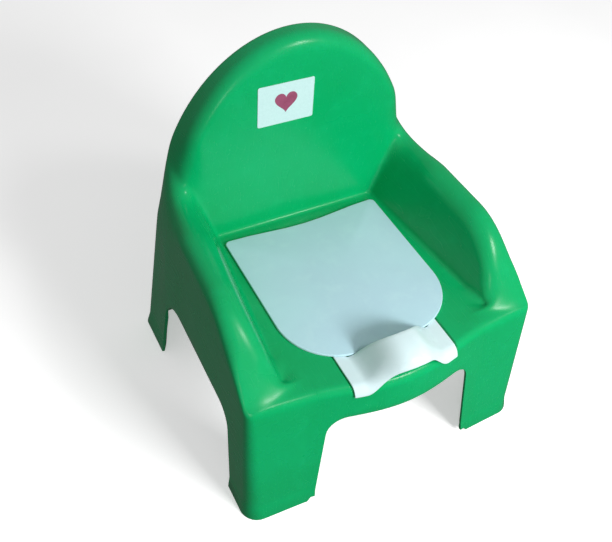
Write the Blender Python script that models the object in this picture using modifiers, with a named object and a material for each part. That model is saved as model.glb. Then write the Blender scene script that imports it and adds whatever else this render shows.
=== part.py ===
"""Potty training chair: a moulded chair, a lift-out bowl with a splash guard, a flat lid and a sticker.

Metres, +Z up. The chair stands on z = 0, faces -Y and is symmetric about x = 0. Each moulding is one thin
sheet: its visible skin is lofted between sections, mirrored, and thickened inwards.
"""

import math

import bmesh
import bpy
from mathutils import Vector

# Overall sizes
WIDTH = 0.334
DEPTH = 0.299
HEIGHT = 0.365
SEAT_HEIGHT = 0.155

# Mouldings
CHAIR_WALL = 0.0025
BOWL_WALL = 0.002
LID_THICKNESS = 0.0022
GAP = 0.0003

# Drafts of the outer walls, as a run for each unit of height
FRONT_DRAFT = 0.148
REAR_DRAFT = 0.025
SIDE_DRAFT_FRONT = 0.020
SIDE_DRAFT_REAR = 0.070

# Seat front: it bows forward in the middle
BOW_DEPTH = 0.019
BOW_HALF_SPAN = 0.130
SEAT_EDGE_RADIUS = 0.009
SEAT_FLAT_ROUND = 0.002
SEAT_SHARE_INNER = 0.40
SEAT_SHARE_FOOT = 0.66
FRONT_STRAIGHT = 0.104
CORNER_RADIUS = 0.009

# Arms
ARM_HEIGHT = SEAT_HEIGHT + 0.063
ARM_RISE = 0.045
ARM_FRONT_SLOPE = 0.88
ARM_FRONT_BLEND = 0.013
ARM_RAMP = 0.005
ARM_FOOT = 0.1055
ARM_FOOT_TAPER = 0.10
ARM_LEAN = 0.37
ARM_INNER_ROUND = 0.020
ARM_OUTER_ROUND = 0.015
SHOULDER_ROUND = 0.006
SHOULDER_END = -0.060
ARM_SETBACK = (0.009, 0.021)
ARM_FOOT_SETBACK = (0.018, 0.023)
ARM_SQUEEZE_START = 0.050
ARM_REAR = 0.090
ARM_FOOT_REAR = 0.084

# Backrest: a slab with an arched outline
BACK_FOOT = 0.098
BACK_LEAN = 0.055
ARCH_CENTRE = SEAT_HEIGHT + 0.025
ARCH_HALF_WIDTH = 0.1400
ARCH_START = math.radians(22)
ARCH_FOOT = (0.1405, SEAT_HEIGHT + 0.073)
RIM_FRONT_ROUND = 0.016
RIM_REAR_ROUND = 0.004
BACK_FOOT_HALF_WIDTH = 0.083
BACK_FOOT_CORNER = 0.0955
FOOT_TURN_RADIUS = 0.006
CREST_TURN_RADIUS = 0.030
COVE = 0.006

# Legs and the openings between them: half width at the top and at the floor, height, corner radius
FRONT_OPENING = (0.0810, 0.0925, SEAT_HEIGHT - 0.038, 0.022)
REAR_OPENING = (0.0840, 0.0940, SEAT_HEIGHT - 0.043, 0.025)
SIDE_OPENING_FRONT = (-0.082, -0.099, SEAT_HEIGHT - 0.049, 0.024)
SIDE_OPENING_REAR = (0.084, 0.091, SEAT_HEIGHT - 0.049, 0.042)
TOE_NOTCH = (0.097, 0.101, 0.005)
FOOT_FLARE = 0.002
FOOT_HEIGHT = 0.014
FOOT_CORNER_RADIUS = 0.017
REAR_CORNER_RADIUS = 0.009

# Seat well and what fits in it: every outline is the lid's outline drawn in by an inset
LID_HALF_WIDTH = 0.092
LID_REAR = 0.084
LID_REAR_HOLLOW = 0.006
LID_CORNER = 0.005
LID_ARC_START = -0.040
LID_FRONT_FLAT = 0.030
LID_ARC_DEPTH = 0.0605
SEAT_LAP = 0.003
BOWL_PLAY = 0.0007
LEDGE_WIDTH = 0.009
WELL_DEPTH = 0.0026
WELL_LIP = 0.006
BOWL_DEPTH = 0.092
BOWL_TAPER = 0.20
BOWL_FLOOR_ROUND = 0.018
LID_RIB_HEIGHT = 0.005
LID_RIB_WALL = 0.0018
LID_RIB_PLAY = 0.0010

# Tongue of the bowl and the vaulted guard that it carries over the front of the seat
TONGUE_HALF_WIDTH = 0.058
TONGUE_PLAY = 0.0012
TONGUE_LAP = 0.013
TONGUE_DROP = 0.010
TONGUE_WALL = 0.002
TONGUE_STEP = 0.0001
GUARD_HALF_SPAN = 0.0465
GUARD_CLEARANCE = 0.0007
GUARD_BOW = 0.011
GUARD_LENGTH = 0.035
GUARD_CREST = SEAT_HEIGHT + 0.029
GUARD_LIP = SEAT_HEIGHT + 0.018
GUARD_FLATNESS = 1.4

# Sticker on the backrest
LABEL_WIDTH = 0.061
LABEL_HEIGHT = 0.0445
LABEL_THICKNESS = 0.0004
LABEL_X = -0.018
LABEL_CENTRE = HEIGHT - 0.064

# Levels that follow from the sizes above
LEDGE = SEAT_HEIGHT - WELL_DEPTH
FLANGE_TOP = LEDGE + GAP + BOWL_WALL
LID_TOP = SEAT_HEIGHT + GAP + LID_THICKNESS
REAR_FOOT = DEPTH / 2 - FOOT_FLARE
HOLE_INSET = SEAT_LAP + LEDGE_WIDTH
WELL_FRONT_REACH = LID_HALF_WIDTH - HOLE_INSET
# Share of the stations round the rear corner that its arcs take
CORNER_SPAN = (0.3, 0.7)


def mix(a, b, share):
    return a + (b - a) * share


def smooth(low, high, value):
    share = min(1, max(0, (value - low) / (high - low)))
    return share * share * (3 - 2 * share)


def rounded(points, radii, steps):
    """The open path through points, each inner corner an arc of steps segments even if it hardly turns."""
    path = [points[0]]
    around = [0, *radii, 0]
    for index, radius in enumerate(radii):
        before, corner, after = points[index : index + 3]
        back = before - corner
        ahead = after - corner
        half_turn = (math.pi - back.angle(ahead, math.pi)) / 2
        setback = max(radius * math.tan(half_turn), radius / 4)
        # Two arcs share the stretch between them in proportion to their radii.
        setback = min(setback, 0.96 * back.length * radius / (radius + around[index]))
        setback = min(setback, 0.96 * ahead.length * radius / (radius + around[index + 2]))
        start = corner + back.normalized() * setback
        end = corner + ahead.normalized() * setback
        weight = math.cos(half_turn)
        for step in range(steps + 1):
            t = step / steps
            a, b, c = (1 - t) ** 2, 2 * t * (1 - t) * weight, t * t
            path.append((start * a + corner * b + end * c) / (a + b + c))
    path.append(points[-1])
    return path


def round_corner(start, corner, end, radius, share):
    """A point on the way from start to end round a corner, whose arc takes the middle part of the way."""
    path = rounded([start, corner, end], [radius], 8)
    low, high = CORNER_SPAN
    if share <= low:
        return mix(path[0], path[1], share / low)
    if share >= high:
        return mix(path[-2], path[-1], (share - high) / (1 - high))
    step = (share - low) / (high - low) * 8
    first = min(7, int(step))
    return mix(path[1 + first], path[2 + first], step - first)


# Outer walls


def bow(x):
    return BOW_DEPTH * (1 + math.cos(math.pi * min(abs(x), BOW_HALF_SPAN) / BOW_HALF_SPAN)) / 2


# The toe of a front leg, where the bow still shows a little, is the foremost point of the chair.
FRONT_FOOT = FOOT_FLARE + bow(TOE_NOTCH[1]) - DEPTH / 2
ARM_START = FRONT_FOOT + FRONT_DRAFT * SEAT_HEIGHT + ARM_RAMP


def side_x(y, z):
    draft = mix(SIDE_DRAFT_FRONT, SIDE_DRAFT_REAR, y / DEPTH + 0.5)
    return WIDTH / 2 - FOOT_FLARE - draft * z


def front_y(x, z):
    return FRONT_FOOT + FRONT_DRAFT * z - bow(x)


def rear_y(z):
    return REAR_FOOT - REAR_DRAFT * z


def face_y(z):
    return BACK_FOOT + BACK_LEAN * (z - SEAT_HEIGHT)


def arm_rise(y):
    """Height of the arm's crest above the seat: a long gentle rise with a ramp at its front."""
    level = ARM_HEIGHT - SEAT_HEIGHT + ARM_RISE * y
    run = y - ARM_START
    if abs(run) < ARM_RAMP:
        run = (run + ARM_RAMP) ** 2 / (4 * ARM_RAMP)
    slope = ARM_FRONT_SLOPE * max(0, run)
    soft = max(ARM_FRONT_BLEND - abs(level - slope) / 2, 0)
    return min(level, slope) - soft * soft / (2 * ARM_FRONT_BLEND)


def foot_x(y):
    return ARM_FOOT - ARM_FOOT_TAPER * y


def arm_top(y):
    rise = arm_rise(y)
    return Vector((foot_x(y) + ARM_LEAN * rise, y, SEAT_HEIGHT + rise))


def opening(top, bottom, height, radius, steps):
    """Outline of one side of an opening, from its flat top out and down to the floor."""
    inner = top - math.copysign(2 * radius, top)
    corners = [Vector((inner, height)), Vector((top, height)), Vector((bottom, 0))]
    return rounded(corners, [radius], steps)[1:]


# The seat well: one outline, drawn in by an inset, with a position that runs from 0 to 5 along its half


def plate_point(position, inset):
    """0-1 front flat, 1-2 front arc, 2-3 side, 3-4 rear corner, 4-5 rear edge."""
    half = LID_HALF_WIDTH - inset
    rear = LID_REAR - inset
    depth = LID_ARC_DEPTH - inset
    corner = LID_CORNER + inset
    part = min(4, int(position))
    share = position - part
    if part == 0:
        return Vector((LID_FRONT_FLAT * share, LID_ARC_START - depth))
    if part == 1:
        turn = math.pi / 2 * share
        reach = half - LID_FRONT_FLAT
        return Vector((LID_FRONT_FLAT + reach * math.sin(turn), LID_ARC_START - depth * math.cos(turn)))
    if part == 2:
        return Vector((half, mix(LID_ARC_START, rear - corner, share)))
    if part == 3:
        turn = math.pi / 2 * share
        return Vector((half - corner + corner * math.cos(turn), rear - corner + corner * math.sin(turn)))
    x = (half - corner) * (1 - share)
    hollow = LID_REAR_HOLLOW * math.cos(math.pi / 2 * x / (half - corner)) ** 2
    return Vector((x, rear - hollow))


def plate_positions(arc_steps):
    """Positions that suit a plate of its own: flats in one or two steps, round parts in more."""
    spans = (2, arc_steps, 4, max(3, arc_steps // 2), 4)
    positions = [part + step / steps for part, steps in enumerate(spans) for step in range(steps)]
    return positions + [5]


def front_position(x):
    """Where the edge of the seat well lies at this x, as a position along the outline."""
    reach = LID_HALF_WIDTH - SEAT_LAP - LID_FRONT_FLAT
    if x < LID_FRONT_FLAT:
        return x / LID_FRONT_FLAT
    return 1 + math.asin((x - LID_FRONT_FLAT) / reach) / (math.pi / 2)


def guard_rear(x, lift):
    """The rear edge of the tongue: clear of the lid's edge under the vault, and below the lid beside it."""
    beside = smooth(0.99, 1.12, abs(x) / GUARD_HALF_SPAN)
    bend = max(0, abs(x) - LID_FRONT_FLAT) / (LID_HALF_WIDTH - LID_FRONT_FLAT)
    lid_edge = LID_ARC_START - LID_ARC_DEPTH * math.cos(math.asin(bend))
    return lid_edge - GUARD_CLEARANCE - GUARD_BOW * lift**2 + TONGUE_LAP * beside


# Sections of the chair, from the middle of the front round to the middle of the back


def section(position, foot, inner, outer, floor, rounds, bottom, out, drop=0):
    """One station of the loft. Inner and outer are the corners of its crest; out points away from it."""
    return {
        "position": position, "foot": foot, "inner": inner, "outer": outer, "floor": floor,
        "rounds": rounds, "bottom": bottom, "out": out, "drop": drop,
    }


def front_sections(steps):
    """Across the seat front, with the tongue's channel in the middle and a front leg at the end."""
    channel = TONGUE_HALF_WIDTH + TONGUE_PLAY
    top, bottom, height, radius = FRONT_OPENING
    notch_in, notch_out, notch = TOE_NOTCH
    edges = [(x, height) for x in (0, channel / 3, channel * 2 / 3, channel, channel + GAP * 4)]
    for point in opening(top, bottom, height, radius, steps):
        if point.x > edges[-1][0] + GAP:
            edges.append((point.x, max(point.y, notch)))
    edges += [(notch_in, notch), (notch_out, 0), (FRONT_STRAIGHT, 0)]
    made = []
    for x, bottom_z in edges:
        drop = WELL_DEPTH if x < channel + GAP else 0
        top_z = SEAT_HEIGHT - drop
        edge = front_y(x, top_z)
        beside = min(x, WELL_FRONT_REACH)
        well = plate_point(front_position(beside), SEAT_LAP).y
        made.append(
            section(
                front_position(x) if x == beside else None,
                Vector((x, mix(edge, well, SEAT_SHARE_FOOT), top_z)),
                Vector((x, mix(edge, well, SEAT_SHARE_INNER), top_z)),
                Vector((x, edge, top_z)),
                Vector((x, front_y(x, 0), 0)),
                (SEAT_FLAT_ROUND, SEAT_FLAT_ROUND, SEAT_EDGE_RADIUS),
                bottom_z,
                Vector((0, -1, 0)),
                drop,
            )
        )
    return made


def corner_sections(steps):
    """Round the front corner, where the arm grows out of the seat."""
    made = []
    seat_edge = front_y(BOW_HALF_SPAN, SEAT_HEIGHT)
    for step in range(steps + 1):
        turn = math.pi / 2 * step / steps
        share = step / steps
        outer_y = seat_edge + CORNER_RADIUS * (1 - math.cos(turn))
        outer_z = SEAT_HEIGHT + arm_rise(outer_y)
        outer_x = side_x(outer_y, outer_z) - CORNER_RADIUS * (1 - math.sin(turn))
        floor_y = FRONT_FOOT + FOOT_CORNER_RADIUS * (1 - math.cos(turn))
        floor_x = side_x(floor_y, 0) - FOOT_CORNER_RADIUS * (1 - math.sin(turn))
        inner_y = seat_edge + mix(*ARM_SETBACK, share)
        foot_y = seat_edge + mix(*ARM_FOOT_SETBACK, share)
        made.append(
            section(
                None,
                Vector((foot_x(foot_y), foot_y, SEAT_HEIGHT)),
                arm_top(inner_y),
                Vector((outer_x, outer_y, outer_z)),
                Vector((floor_x, floor_y, 0)),
                (
                    mix(SEAT_FLAT_ROUND, COVE, share),
                    mix(SEAT_FLAT_ROUND, ARM_INNER_ROUND, share),
                    mix(SEAT_EDGE_RADIUS, SHOULDER_ROUND, math.sin(turn)),
                ),
                0,
                Vector((math.sin(turn), -math.cos(turn), 0)),
            )
        )
    return made


def side_sections(steps):
    """Along the arm, with the opening between the front and the rear leg below it."""
    front = opening(*SIDE_OPENING_FRONT, steps)
    rear = opening(*SIDE_OPENING_REAR, steps)
    edges = [(point.x, point.y) for point in reversed(front)]
    edges += [(mix(front[0].x, rear[0].x, share), front[0].y) for share in (0.33, 0.67)]
    edges += [(point.x, point.y) for point in rear]
    made = []
    shoulder = edges[0][0]
    for y, bottom_z in edges:
        outer_round = mix(SHOULDER_ROUND, ARM_OUTER_ROUND, smooth(shoulder, SHOULDER_END, y))
        back = max(0, (y - ARM_SQUEEZE_START) / (ARM_REAR - ARM_SQUEEZE_START))
        inner_y = y if back == 0 else mix(ARM_SQUEEZE_START, ARM_FOOT_REAR, back)
        crest = arm_top(inner_y)
        outer_z = SEAT_HEIGHT + arm_rise(y)
        along = (inner_y - LID_ARC_START) / (LID_REAR + SEAT_LAP - LID_ARC_START)
        made.append(
            section(
                2 + along if along > 0 else None,
                Vector((foot_x(inner_y), inner_y, SEAT_HEIGHT)),
                crest,
                Vector((side_x(y, outer_z), y, outer_z)),
                Vector((side_x(y, 0), y, 0)),
                (COVE, ARM_INNER_ROUND, outer_round),
                bottom_z,
                Vector((1, 0, 0)),
            )
        )
    return made


def arch_point(angle, y_at):
    z = ARCH_CENTRE + (HEIGHT - ARCH_CENTRE) * math.sin(angle)
    return Vector((ARCH_HALF_WIDTH * math.cos(angle), y_at(z), z))


def back_sections(steps):
    """Over the arch of the backrest, from its side up to the middle."""
    top, bottom, height, radius = REAR_OPENING
    edges = [(point.x, point.y) for point in reversed(opening(top, bottom, height, radius, steps))]
    edges += [(edges[-1][0] * share, height) for share in (0.67, 0.33, 0)]
    legs = [(ARCH_HALF_WIDTH * math.cos(mix(ARCH_START, 0.78, step / 4)), 0) for step in range(5)]
    made = []
    for x, bottom_z in [edge for edge in legs if edge[0] > bottom + 0.002] + edges:
        angle = math.acos(x / ARCH_HALF_WIDTH)
        share = x / (ARCH_HALF_WIDTH * math.cos(ARCH_START))
        made.append(
            section(
                5 - 0.98 * share,
                Vector((BACK_FOOT_HALF_WIDTH * share, BACK_FOOT, SEAT_HEIGHT)),
                arch_point(angle, face_y),
                arch_point(angle, rear_y),
                Vector((x, REAR_FOOT, 0)),
                (COVE, RIM_FRONT_ROUND, RIM_REAR_ROUND),
                bottom_z,
                Vector((0, 1, 0)),
            )
        )
    return made


def junction_sections(arm, back, steps):
    """Between the end of the arm and the side of the backrest, round the rear corner of the chair."""
    shares = [step / steps for step in range(1, steps)]
    foot_corner = Vector((BACK_FOOT_CORNER, BACK_FOOT, SEAT_HEIGHT))
    arch_x, arch_z = ARCH_FOOT
    inner_x = mix(arm["inner"].x, arch_x, 0.25)
    inner_corner = Vector((inner_x, face_y(arch_z), mix(arm["inner"].z, arch_z, 0.5)))
    outer_corner = Vector((arch_x, rear_y(arch_z), arch_z))
    floor_corner = Vector((side_x(REAR_FOOT, 0), REAR_FOOT, 0))
    made = []
    for share in shares:
        turn = math.pi / 2 * smooth(*CORNER_SPAN, share)
        made.append(
            section(
                mix(arm["position"], back["position"], share),
                round_corner(arm["foot"], foot_corner, back["foot"], FOOT_TURN_RADIUS, share),
                round_corner(arm["inner"], inner_corner, back["inner"], CREST_TURN_RADIUS, share),
                round_corner(arm["outer"], outer_corner, back["outer"], CREST_TURN_RADIUS, share),
                round_corner(arm["floor"], floor_corner, back["floor"], REAR_CORNER_RADIUS, share),
                (
                    COVE,
                    mix(ARM_INNER_ROUND, RIM_FRONT_ROUND, share),
                    mix(ARM_OUTER_ROUND, RIM_REAR_ROUND, share),
                ),
                0,
                Vector((math.cos(turn), math.sin(turn), 0)),
            )
        )
    return made


def chair_sections(steps):
    front = front_sections(steps)
    corner = corner_sections(steps)
    side = side_sections(steps)
    back = back_sections(steps)
    junction = junction_sections(side[-1], back[0], 10)
    stations = front + corner + side + junction + back
    # From the front leg round to the straight side of the seat well, the stations share its arc evenly.
    placed = [station["position"] is not None for station in stations]
    first = placed.index(False) - 1
    last = len(front + corner) + sum(station["position"] is None for station in side)
    for index in range(first + 1, last):
        share = (index - first) / (last - first)
        stations[index]["position"] = mix(stations[first]["position"], stations[last]["position"], share)
    return stations


def wall_point(station, start, z):
    """On the drafted outer wall, below the crest's rounding."""
    end = station["floor"]
    return mix(start, end, (start.z - z) / (start.z - end.z))


def chair_profile(station, steps):
    """From the lip of the seat well, over the crest, down to the bottom edge."""
    level = SEAT_HEIGHT - station["drop"]
    hole = plate_point(station["position"], HOLE_INSET)
    ledge = plate_point(station["position"], SEAT_LAP)
    points = [
        hole.to_3d() + Vector((0, 0, LEDGE - WELL_LIP)),
        hole.to_3d() + Vector((0, 0, LEDGE)),
        ledge.to_3d() + Vector((0, 0, LEDGE)),
    ]
    points.append(ledge.to_3d() + Vector((0, 0, level + (GAP if station["drop"] else 0))))
    crest = rounded(
        [points[-1], station["foot"], station["inner"], station["outer"], station["floor"]],
        station["rounds"],
        steps,
    )
    points += crest[1:-1]
    top = points[-1]
    knee = max(FOOT_HEIGHT, station["bottom"] + FOOT_HEIGHT / 2)
    for share in (0.33, 0.67, 1):
        points.append(wall_point(station, top, mix(top.z, knee, share)))
    foot = wall_point(station, top, station["bottom"])
    if station["bottom"] == 0:
        foot += Vector((0, 0, -CHAIR_WALL))
    flare = FOOT_FLARE * max(0, 1 - station["bottom"] / FOOT_HEIGHT)
    points.append(foot + station["out"] * flare)
    return points


# Mesh helpers


def sheet(name, columns, extra_faces=(), extra_points=()):
    """A grid of faces between columns of points of equal length."""
    rows = len(columns[0])
    points = [point for column in columns for point in column] + list(extra_points)
    faces = []
    for column in range(len(columns) - 1):
        for row in range(rows - 1):
            first = column * rows + row
            faces.append((first, first + 1, first + rows + 1, first + rows))
    mesh = bpy.data.meshes.new(name)
    mesh.from_pydata([tuple(point) for point in points], [], faces + list(extra_faces))
    return mesh


def add_object(name, mesh, material, collection):
    thing = bpy.data.objects.new(name, mesh)
    collection.objects.link(thing)
    mesh.materials.append(material)
    return thing


def mirror_and_thicken(thing, wall, mirrored=True):
    if mirrored:
        mirror = thing.modifiers.new("Mirror", "MIRROR")
        mirror.merge_threshold = 0.0001
    solid = thing.modifiers.new("Wall", "SOLIDIFY")
    solid.thickness = wall
    solid.offset = -1
    solid.use_even_offset = True


def plastic(name, colour, roughness):
    material = bpy.data.materials.new(name)
    material.use_nodes = True
    shader = material.node_tree.nodes["Principled BSDF"]
    shader.inputs["Base Color"].default_value = (*colour, 1)
    shader.inputs["Roughness"].default_value = roughness
    shader.inputs["Metallic"].default_value = 0
    material.diffuse_color = (*colour, 1)
    return material


# The pieces


def cut_at_floor(thing, cutters):
    """Trims the feet flat on z = 0."""
    bpy.ops.mesh.primitive_cube_add(size=1, location=(0, 0, -FOOT_HEIGHT / 2))
    ground = bpy.context.object
    ground.name = "ground_cut"
    ground.scale = (WIDTH * 2, DEPTH * 2, FOOT_HEIGHT)
    ground.hide_render = True
    ground.display_type = "WIRE"
    ground.users_collection[0].objects.unlink(ground)
    cutters.objects.link(ground)
    cut = thing.modifiers.new("Flat feet", "BOOLEAN")
    cut.operation = "DIFFERENCE"
    cut.object = ground


def chair_shell(collection, cutters):
    steps = 3
    columns = [chair_profile(station, steps) for station in chair_sections(steps)]
    mesh = sheet("chair_shell", columns)
    mesh.shade_smooth()
    thing = add_object("chair_shell", mesh, plastic("green_plastic", (0.0, 0.35, 0.12), 0.3), collection)
    mirror_and_thicken(thing, CHAIR_WALL)
    cut_at_floor(thing, cutters)
    return thing


def bowl_columns():
    """Half of the bowl's inner skin: from its floor up the wall and out over the flange."""
    columns = []
    floor_z = FLANGE_TOP - BOWL_DEPTH
    inner_inset = HOLE_INSET + BOWL_PLAY + BOWL_WALL
    for position in plate_positions(8):
        rim = plate_point(position, inner_inset)
        base = plate_point(position, inner_inset + BOWL_TAPER * BOWL_DEPTH)
        edge = plate_point(position, SEAT_LAP + BOWL_PLAY)
        centre = Vector((base.x * 0.35, base.y * 0.35, floor_z))
        corners = [
            centre,
            Vector((base.x, base.y, floor_z)),
            Vector((rim.x, rim.y, FLANGE_TOP)),
            Vector((edge.x, edge.y, FLANGE_TOP)),
        ]
        columns.append(rounded(corners, (BOWL_FLOOR_ROUND, BOWL_WALL), 3))
    return columns


def tongue_columns():
    """The tongue with its vaulted guard: sections along y at each x, blended from flat to arched."""
    columns = []
    top = FLANGE_TOP + TONGUE_STEP
    skin_out = 2 * GAP + TONGUE_WALL
    across = 28
    for step in range(across + 1):
        x = mix(-TONGUE_HALF_WIDTH, TONGUE_HALF_WIDTH, step / across)
        lift = math.cos(math.pi / 2 * min(1, abs(x) / GUARD_HALF_SPAN) ** GUARD_FLATNESS) ** 2
        rear = guard_rear(x, lift)
        corners = [
            Vector((x, rear, top)),
            Vector((x, front_y(x, top) - skin_out, top)),
            Vector((x, front_y(x, top - TONGUE_DROP) - skin_out, top - TONGUE_DROP)),
        ]
        flat = rounded(corners, [SEAT_EDGE_RADIUS + skin_out], 6)
        column = []
        for index, point in enumerate(flat):
            turn = math.pi / 2 * index / (len(flat) - 1)
            arched_y = rear - GUARD_LENGTH * math.sin(turn)
            arched_z = mix(GUARD_LIP, GUARD_CREST, math.cos(turn))
            column.append(Vector((x, mix(point.y, arched_y, lift), mix(point.z, arched_z, lift))))
        columns.append(column)
    return columns


def potty_bowl(collection, cutters):
    columns = bowl_columns()
    rows = len(columns[0])
    middle = len(columns) * rows
    fan = [(middle, column * rows, (column + 1) * rows) for column in range(len(columns) - 1)]
    mesh = sheet("potty_bowl", columns, fan, [Vector((0, 0, columns[0][0].z))])
    thing = add_object("potty_bowl", mesh, plastic("white_plastic", (0.75, 0.93, 0.92), 0.3), collection)
    mirror_and_thicken(thing, BOWL_WALL)
    plate = sheet("tongue_and_guard", tongue_columns())
    tongue = add_object("tongue_and_guard", plate, thing.data.materials[0], cutters)
    tongue.hide_render = True
    tongue.display_type = "WIRE"
    mirror_and_thicken(tongue, TONGUE_WALL, mirrored=False)
    join = thing.modifiers.new("Join tongue", "BOOLEAN")
    join.operation = "UNION"
    join.object = tongue
    return thing


def potty_lid(collection):
    """A flat plate with a locating rib beneath, as one closed skin."""
    positions = plate_positions(8)
    under = SEAT_HEIGHT + GAP
    rib_out = HOLE_INSET + BOWL_PLAY + BOWL_WALL + LID_RIB_PLAY
    rib_in = rib_out + LID_RIB_WALL
    rib_end = under - LID_RIB_HEIGHT
    columns = []
    for position in positions:
        levels = (
            (rib_in, under), (rib_in, rib_end), (rib_out, rib_end), (rib_out, under),
            (0, under), (0, LID_TOP),
        )
        columns.append([plate_point(position, inset).to_3d() + Vector((0, 0, z)) for inset, z in levels])
    rows = len(columns[0])
    count = len(columns)
    # The two flat skins close as fans from the middle of the plate.
    low, high = count * rows, count * rows + 1
    fans = [(low, (column + 1) * rows, column * rows) for column in range(count - 1)]
    last = rows - 1
    fans += [(high, column * rows + last, (column + 1) * rows + last) for column in range(count - 1)]
    mesh = sheet("potty_lid", columns, fans, [Vector((0, 0, under)), Vector((0, 0, LID_TOP))])
    form = bmesh.new()
    form.from_mesh(mesh)
    bmesh.ops.recalc_face_normals(form, faces=form.faces)
    form.to_mesh(mesh)
    form.free()
    thing = add_object("potty_lid", mesh, plastic("grey_plastic", (0.42, 0.62, 0.68), 0.35), collection)
    mirror = thing.modifiers.new("Mirror", "MIRROR")
    mirror.merge_threshold = 0.0001
    return thing


def back_label(collection):
    """A thin rectangle, stuck on the sloping face of the backrest."""
    bpy.ops.mesh.primitive_cube_add(size=1)
    thing = bpy.context.object
    thing.name = "back_label"
    thing.data.name = "back_label"
    thing.users_collection[0].objects.unlink(thing)
    collection.objects.link(thing)
    for vertex in thing.data.vertices:
        vertex.co = Vector(
            (vertex.co.x * LABEL_WIDTH, vertex.co.y * LABEL_THICKNESS, vertex.co.z * LABEL_HEIGHT)
        )
    away = GAP + LABEL_THICKNESS / 2
    thing.rotation_euler = (-math.atan(BACK_LEAN), 0, 0)
    thing.location = (LABEL_X, face_y(LABEL_CENTRE) - away * math.hypot(1, BACK_LEAN), LABEL_CENTRE)
    thing.data.materials.append(plastic("label_film", (0.72, 0.94, 0.92), 0.4))
    return thing


def main():
    for thing in list(bpy.data.objects):
        bpy.data.objects.remove(thing, do_unlink=True)
    pieces = bpy.data.collections.new("potty_training_chair")
    helpers = bpy.data.collections.new("cutters")
    bpy.context.scene.collection.children.link(pieces)
    bpy.context.scene.collection.children.link(helpers)
    chair_shell(pieces, helpers)
    potty_bowl(pieces, helpers)
    potty_lid(pieces)
    back_label(pieces)


main()
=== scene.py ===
"""Looks of the potty training chair: fine surfaces, moulded plastics, studio light and camera.

The mouldings are built from the same sections as the part's own solids, with finer steps, so each one lies
where its solid lies and can stand for it. Metres, +Z up, the chair faces -Y.
"""

import math

import bmesh
import bpy
import numpy as np
from mathutils import Matrix, Vector


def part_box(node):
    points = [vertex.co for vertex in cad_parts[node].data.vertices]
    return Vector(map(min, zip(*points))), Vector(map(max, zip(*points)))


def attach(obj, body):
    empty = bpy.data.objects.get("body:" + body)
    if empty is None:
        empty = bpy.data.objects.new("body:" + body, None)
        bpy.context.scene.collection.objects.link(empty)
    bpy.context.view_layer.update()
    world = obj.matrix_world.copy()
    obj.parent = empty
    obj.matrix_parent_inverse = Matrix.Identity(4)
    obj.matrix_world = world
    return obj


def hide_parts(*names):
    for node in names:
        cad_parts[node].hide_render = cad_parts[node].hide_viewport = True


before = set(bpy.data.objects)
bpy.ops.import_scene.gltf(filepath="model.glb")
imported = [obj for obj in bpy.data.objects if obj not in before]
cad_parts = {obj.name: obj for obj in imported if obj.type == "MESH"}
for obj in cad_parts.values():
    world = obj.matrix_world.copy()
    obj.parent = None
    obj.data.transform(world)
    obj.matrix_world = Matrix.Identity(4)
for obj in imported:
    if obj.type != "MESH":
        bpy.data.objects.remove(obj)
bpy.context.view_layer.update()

# Overall sizes
WIDTH = 0.334
DEPTH = 0.299
HEIGHT = 0.365
SEAT_HEIGHT = 0.155

# Mouldings
CHAIR_WALL = 0.0025
BOWL_WALL = 0.002
LID_THICKNESS = 0.0022
GAP = 0.0003

# Drafts of the outer walls, as a run for each unit of height
FRONT_DRAFT = 0.148
REAR_DRAFT = 0.025
SIDE_DRAFT_FRONT = 0.020
SIDE_DRAFT_REAR = 0.070

# Seat front: it bows forward in the middle
BOW_DEPTH = 0.019
BOW_HALF_SPAN = 0.130
SEAT_EDGE_RADIUS = 0.009
SEAT_FLAT_ROUND = 0.002
SEAT_SHARE_INNER = 0.40
SEAT_SHARE_FOOT = 0.66
FRONT_STRAIGHT = 0.104
CORNER_RADIUS = 0.009

# Arms
ARM_HEIGHT = SEAT_HEIGHT + 0.063
ARM_RISE = 0.045
ARM_FRONT_SLOPE = 0.88
ARM_FRONT_BLEND = 0.013
ARM_RAMP = 0.005
ARM_FOOT = 0.1055
ARM_FOOT_TAPER = 0.10
ARM_LEAN = 0.37
ARM_INNER_ROUND = 0.020
ARM_OUTER_ROUND = 0.015
SHOULDER_ROUND = 0.006
SHOULDER_END = -0.060
ARM_SETBACK = (0.009, 0.021)
ARM_FOOT_SETBACK = (0.018, 0.023)
ARM_SQUEEZE_START = 0.050
ARM_REAR = 0.090
ARM_FOOT_REAR = 0.084

# Backrest: a slab with an arched outline
BACK_FOOT = 0.098
BACK_LEAN = 0.055
ARCH_CENTRE = SEAT_HEIGHT + 0.025
ARCH_HALF_WIDTH = 0.1400
ARCH_START = math.radians(22)
ARCH_FOOT = (0.1405, SEAT_HEIGHT + 0.073)
RIM_FRONT_ROUND = 0.016
RIM_REAR_ROUND = 0.004
BACK_FOOT_HALF_WIDTH = 0.083
BACK_FOOT_CORNER = 0.0955
FOOT_TURN_RADIUS = 0.006
CREST_TURN_RADIUS = 0.030
COVE = 0.006

# Legs and the openings between them: half width at the top and at the floor, height, corner radius
FRONT_OPENING = (0.0810, 0.0925, SEAT_HEIGHT - 0.038, 0.022)
REAR_OPENING = (0.0840, 0.0940, SEAT_HEIGHT - 0.043, 0.025)
SIDE_OPENING_FRONT = (-0.082, -0.099, SEAT_HEIGHT - 0.049, 0.024)
SIDE_OPENING_REAR = (0.084, 0.091, SEAT_HEIGHT - 0.049, 0.042)
TOE_NOTCH = (0.097, 0.101, 0.005)
FOOT_FLARE = 0.002
FOOT_HEIGHT = 0.014
FOOT_CORNER_RADIUS = 0.017
REAR_CORNER_RADIUS = 0.009

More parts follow.
